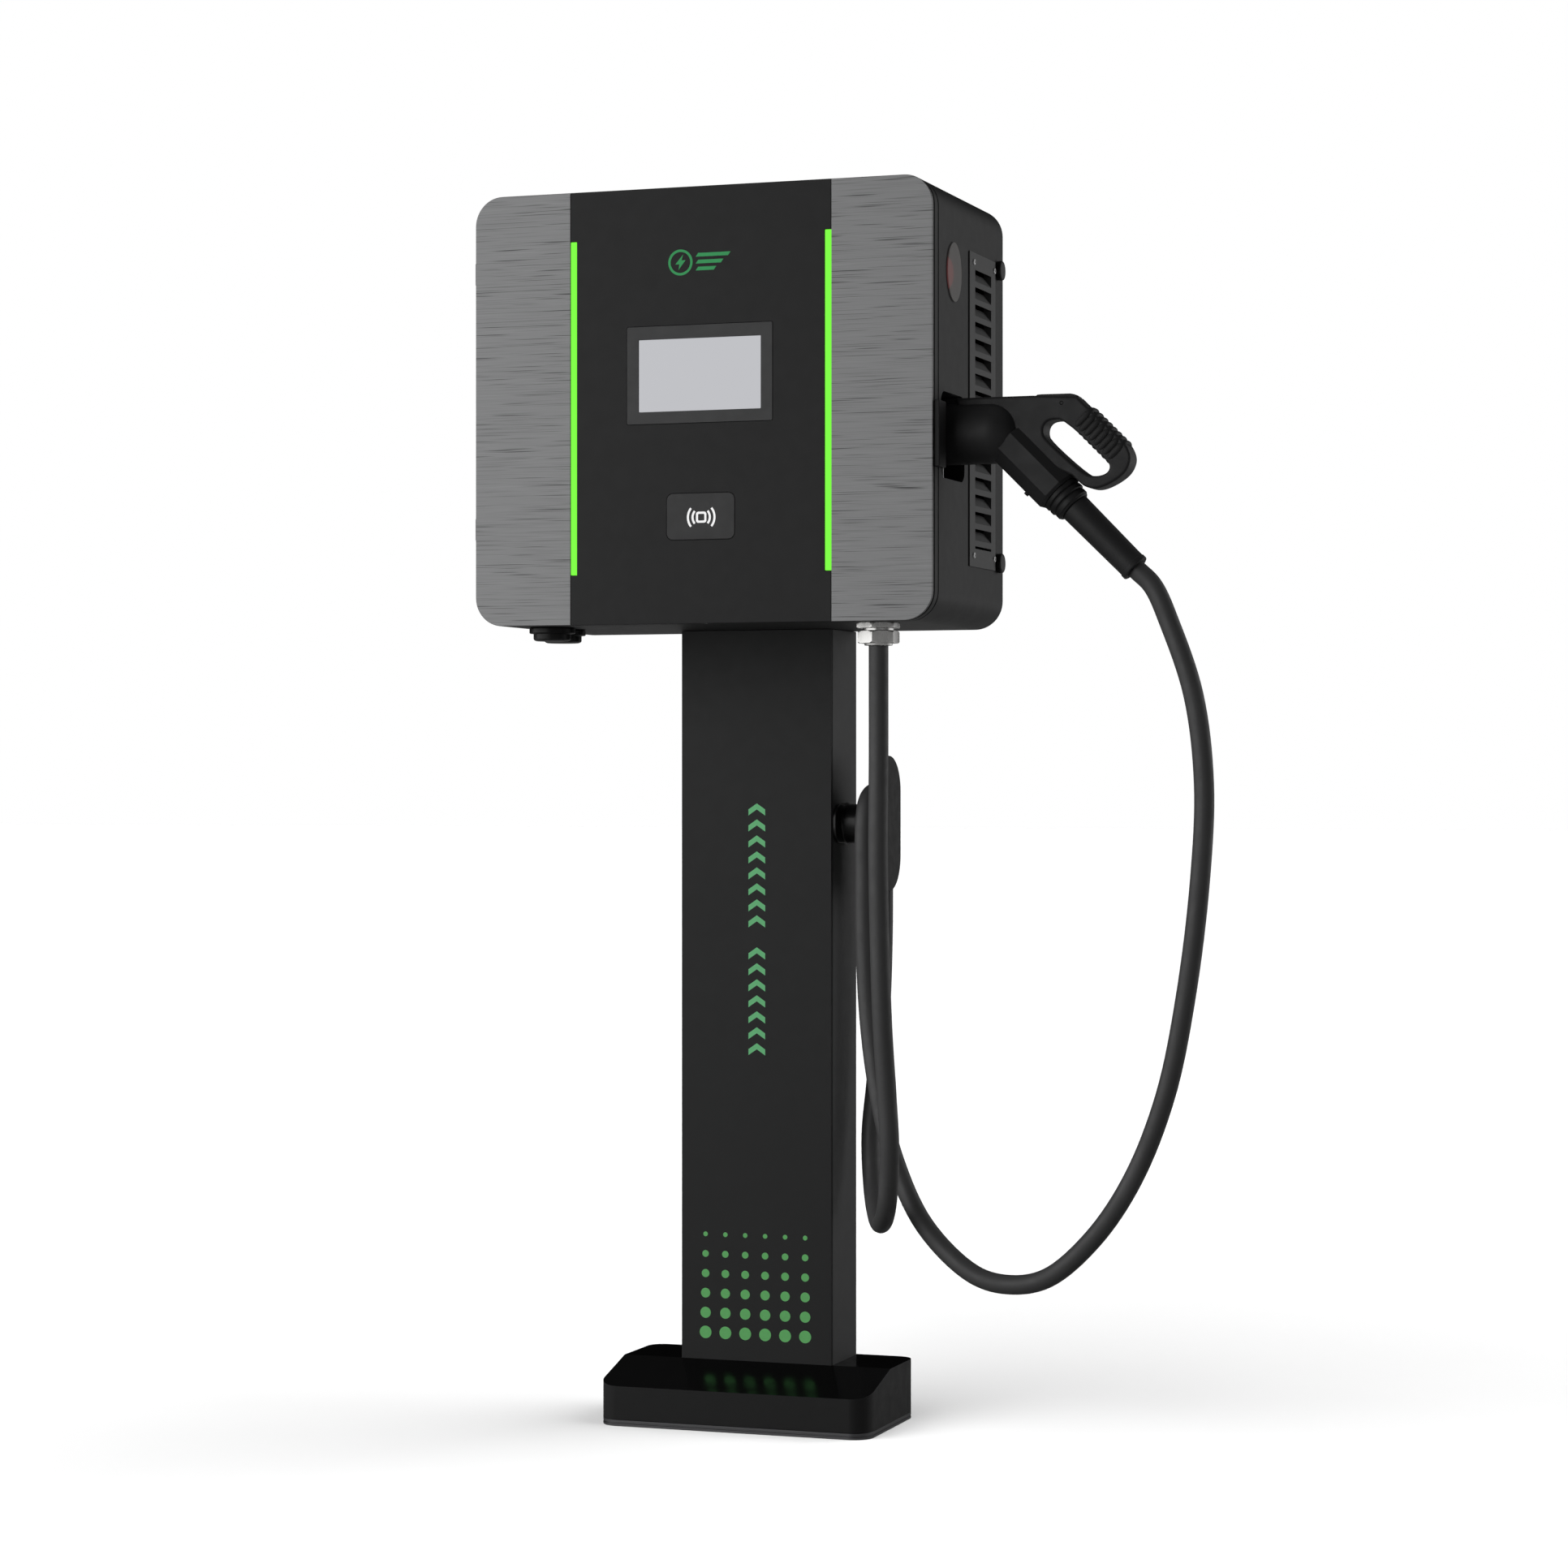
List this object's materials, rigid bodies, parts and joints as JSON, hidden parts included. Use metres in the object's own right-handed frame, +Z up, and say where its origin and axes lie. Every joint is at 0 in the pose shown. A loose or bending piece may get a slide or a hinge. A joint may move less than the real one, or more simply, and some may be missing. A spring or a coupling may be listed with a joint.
{
  "type": "ev charging post",
  "caption": "Free-standing electric vehicle charging post: hinged-door cabinet with screen and card reader on a box column, and a tethered connector in a side holster.",
  "frame": {"origin": "middle of the foot's underside, on the floor", "axes": "+Z up, +X the post's right side as seen from the front, the front faces -Y"},
  "size_m": [0.9024, 0.2992, 1.5],
  "materials": {
    "zinc": "zinc plated, satin",
    "gloss_black": "gloss black lacquer",
    "grey_coat": "fine matt powder coat, dark grey",
    "black_coat": "fine matt powder coat, black",
    "brushed": "dark brushed steel with horizontal grain",
    "black_plastic": "moulded black plastic",
    "nickel": "nickel plated brass",
    "red_plastic": "moulded red plastic",
    "clear_plastic": "smoked clear plastic",
    "rubber": "black rubber",
    "aluminium": "extruded aluminium",
    "board": "circuit board",
    "light_plastic": "light grey moulded plastic",
    "led_green": "green light diffuser",
    "bezel_black": "satin black bezel",
    "screen_glass": "display glass"
  },
  "bodies": {
    "root": {"base_plate": "zinc", "base_cover": "gloss_black", "anchor_bolt_1": "zinc", "anchor_bolt_2": "zinc", "anchor_bolt_3": "zinc", "anchor_bolt_4": "zinc", "column_body": "grey_coat", "column_front_cover": "black_coat", "cable_hook": "gloss_black", "housing_shell": "grey_coat", "vent_grille_right": "grey_coat", "vent_grille_left": "grey_coat", "fan_frame_right": "black_plastic", "fan_frame_left": "black_plastic", "side_knob_1": "black_plastic", "side_knob_2": "black_plastic", "holster_box": "black_coat", "holster_socket": "black_plastic", "holster_plate": "grey_coat", "holster_bracket": "nickel", "stop_cup": "black_plastic", "output_gland_body": "nickel", "output_gland_cap": "nickel", "input_gland_1": "black_plastic", "input_gland_2": "black_plastic", "mounting_plate": "zinc", "power_module": "aluminium", "control_board": "board", "din_rail": "zinc", "breaker_body": "light_plastic", "contactor": "black_plastic", "energy_meter": "light_plastic", "terminal_block": "light_plastic", "hinge_body_half_1": "grey_coat", "hinge_body_half_2": "grey_coat", "charging_cable": "rubber"},
    "door": {"door_tray": "grey_coat", "door_gasket": "rubber", "front_panel_left": "brushed", "front_panel_right": "brushed", "front_panel_centre": "black_coat", "led_strip_left": "led_green", "led_strip_right": "led_green", "display_bezel": "bezel_black", "display_screen": "screen_glass", "card_reader_pad": "black_plastic", "hinge_door_half_1": "grey_coat", "hinge_door_half_2": "grey_coat"},
    "connector": {"connector_shell": "black_plastic", "connector_nose": "black_plastic", "connector_collar": "rubber", "cable_boot": "rubber"},
    "lock": {"door_lock": "nickel"},
    "stop_button": {"stop_button": "red_plastic"},
    "stop_flap": {"stop_flap": "clear_plastic"},
    "fan_right": {"fan_rotor_right": "black_plastic"},
    "fan_left": {"fan_rotor_left": "black_plastic"},
    "breaker_toggle": {"breaker_toggle": "black_plastic"},
    "latch": {"latch_lever": "black_plastic"},
    "thumb": {"thumb_button": "black_plastic"}
  },
  "joints": [
    {"name": "door_hinge", "type": "hinge", "parent": "root", "child": "door", "pos_m": [-0.294, -0.1803, 1.24], "axis": [0, 0, -1], "range_deg": [0, 110]},
    {"name": "lock_turn", "type": "hinge", "parent": "door", "child": "lock", "pos_m": [0, -0.19, 0.99], "axis": [0, 0, -1], "range_deg": [0, 90]},
    {"name": "stop_press", "type": "slide", "parent": "root", "child": "stop_button", "axis": [-1, 0, 0], "range_m": [0, 0.005], "stiffness_N_per_m": 800},
    {"name": "stop_flap_hinge", "type": "hinge", "parent": "root", "child": "stop_flap", "pos_m": [0.2913, -0.1202, 1.42925], "axis": [0, -1, 0], "range_deg": [0, 105]},
    {"name": "fan_right_spin", "type": "hinge", "parent": "root", "child": "fan_right", "pos_m": [0.27, -0.00195, 1.24], "axis": [1, 0, 0], "continuous": true},
    {"name": "fan_left_spin", "type": "hinge", "parent": "root", "child": "fan_left", "pos_m": [-0.27, -0.00195, 1.24], "axis": [1, 0, 0], "continuous": true},
    {"name": "breaker_throw", "type": "hinge", "parent": "root", "child": "breaker_toggle", "pos_m": [-0.154, -0.0076, 1.1395], "axis": [1, 0, 0], "range_deg": [0, 35]},
    {"name": "connector_draw", "type": "slide", "parent": "root", "child": "connector", "axis": [1, 0, 0], "range_m": [0, 0.095], "deforming": ["charging_cable"]},
    {"name": "thumb_press", "type": "hinge", "parent": "connector", "child": "thumb", "pos_m": [0.4276, -0.123, 1.2338], "axis": [0, -1, 0], "range_deg": [0, 6], "stiffness_Nm_per_rad": 0.5},
    {"name": "latch_lift", "type": "hinge", "parent": "connector", "child": "latch", "pos_m": [0.34, -0.123, 1.236], "axis": [0, 1, 0], "range_deg": [0, 3.8]}
  ],
  "couplings": [
    {"joint": "latch_lift", "follows": "thumb_press", "ratio": 0.63}
  ]
}
